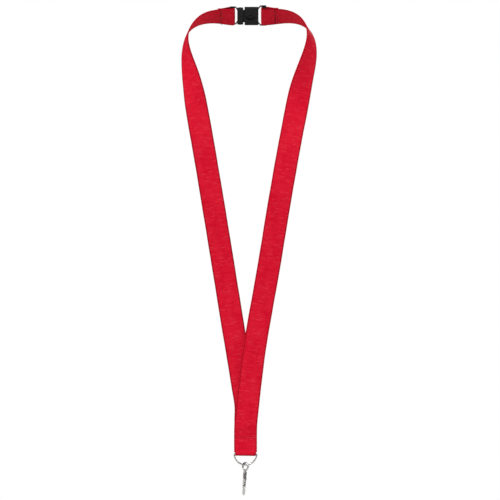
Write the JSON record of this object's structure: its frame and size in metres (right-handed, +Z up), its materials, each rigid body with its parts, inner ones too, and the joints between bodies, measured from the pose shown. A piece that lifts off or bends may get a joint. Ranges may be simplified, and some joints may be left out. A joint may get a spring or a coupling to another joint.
{
  "type": "lanyard",
  "caption": "Neck lanyard of flat woven webbing with a snap-apart safety buckle at the nape and a D-ring with a swivelling trigger clasp at the bottom.",
  "frame": {"origin": "middle of the break-away buckle at the nape, which is where the lanyard rests on the neck", "axes": "+Z is up along the hanging lanyard, -Y is the chest side, +X is the wearer's left"},
  "size_m": [0.1197, 0.0503, 0.4308],
  "materials": {
    "webbing": "woven polyester, fine cross ribs, slight sheen",
    "thread": "twisted polyester sewing thread",
    "buckle_plastic": "moulded acetal, fine satin grain",
    "ring_nickel": "bright nickel plate on steel wire",
    "clasp_nickel": "bright nickel plate on a zinc casting",
    "clasp_steel": "plain steel"
  },
  "bodies": {
    "left_strap": {"strap_left_neck": "webbing", "strap_left_run": "webbing", "strap_left_fold": "webbing", "strap_tab_loop": "webbing", "left_fold_stitching": "thread", "tab_stitching": "thread", "thread_tail": "thread", "buckle_male_half": "buckle_plastic"},
    "right_strap": {"strap_right_neck": "webbing", "strap_right_run": "webbing", "strap_right_fold": "webbing", "right_fold_stitching": "thread", "buckle_female_half": "buckle_plastic"},
    "ring": {"d_ring": "ring_nickel"},
    "eye": {"swivel_eye": "clasp_nickel"},
    "clasp": {"clasp_body": "clasp_nickel", "gate_pin": "clasp_steel", "gate_spring": "clasp_steel"},
    "gate": {"clasp_gate": "clasp_nickel"}
  },
  "joints": [
    {"name": "buckle_release", "type": "hinge", "parent": "left_strap", "child": "right_strap", "pos_m": [0, -0.034, -0.37], "axis": [0, 1, 0], "range_deg": [0, 6]},
    {"name": "ring_swing", "type": "hinge", "parent": "left_strap", "child": "ring", "pos_m": [0, -0.034, -0.3848], "axis": [1, 0, 0], "range_deg": [-90, 90]},
    {"name": "eye_swing", "type": "hinge", "parent": "ring", "child": "eye", "pos_m": [0, -0.034, -0.3947], "axis": [1, 0, 0], "range_deg": [-75, 75]},
    {"name": "clasp_swivel", "type": "hinge", "parent": "eye", "child": "clasp", "pos_m": [-0.00041, -0.034, -0.40139], "axis": [0.061, 0, 0.9981], "continuous": true},
    {"name": "gate_open", "type": "hinge", "parent": "clasp", "child": "gate", "pos_m": [-0.00055, -0.03699, -0.40709], "axis": [0.9957, 0.0698, -0.0609], "range_deg": [0, 28], "stiffness_Nm_per_rad": 0.02, "springref_deg": -17.19, "deforming": ["gate_spring"]}
  ]
}
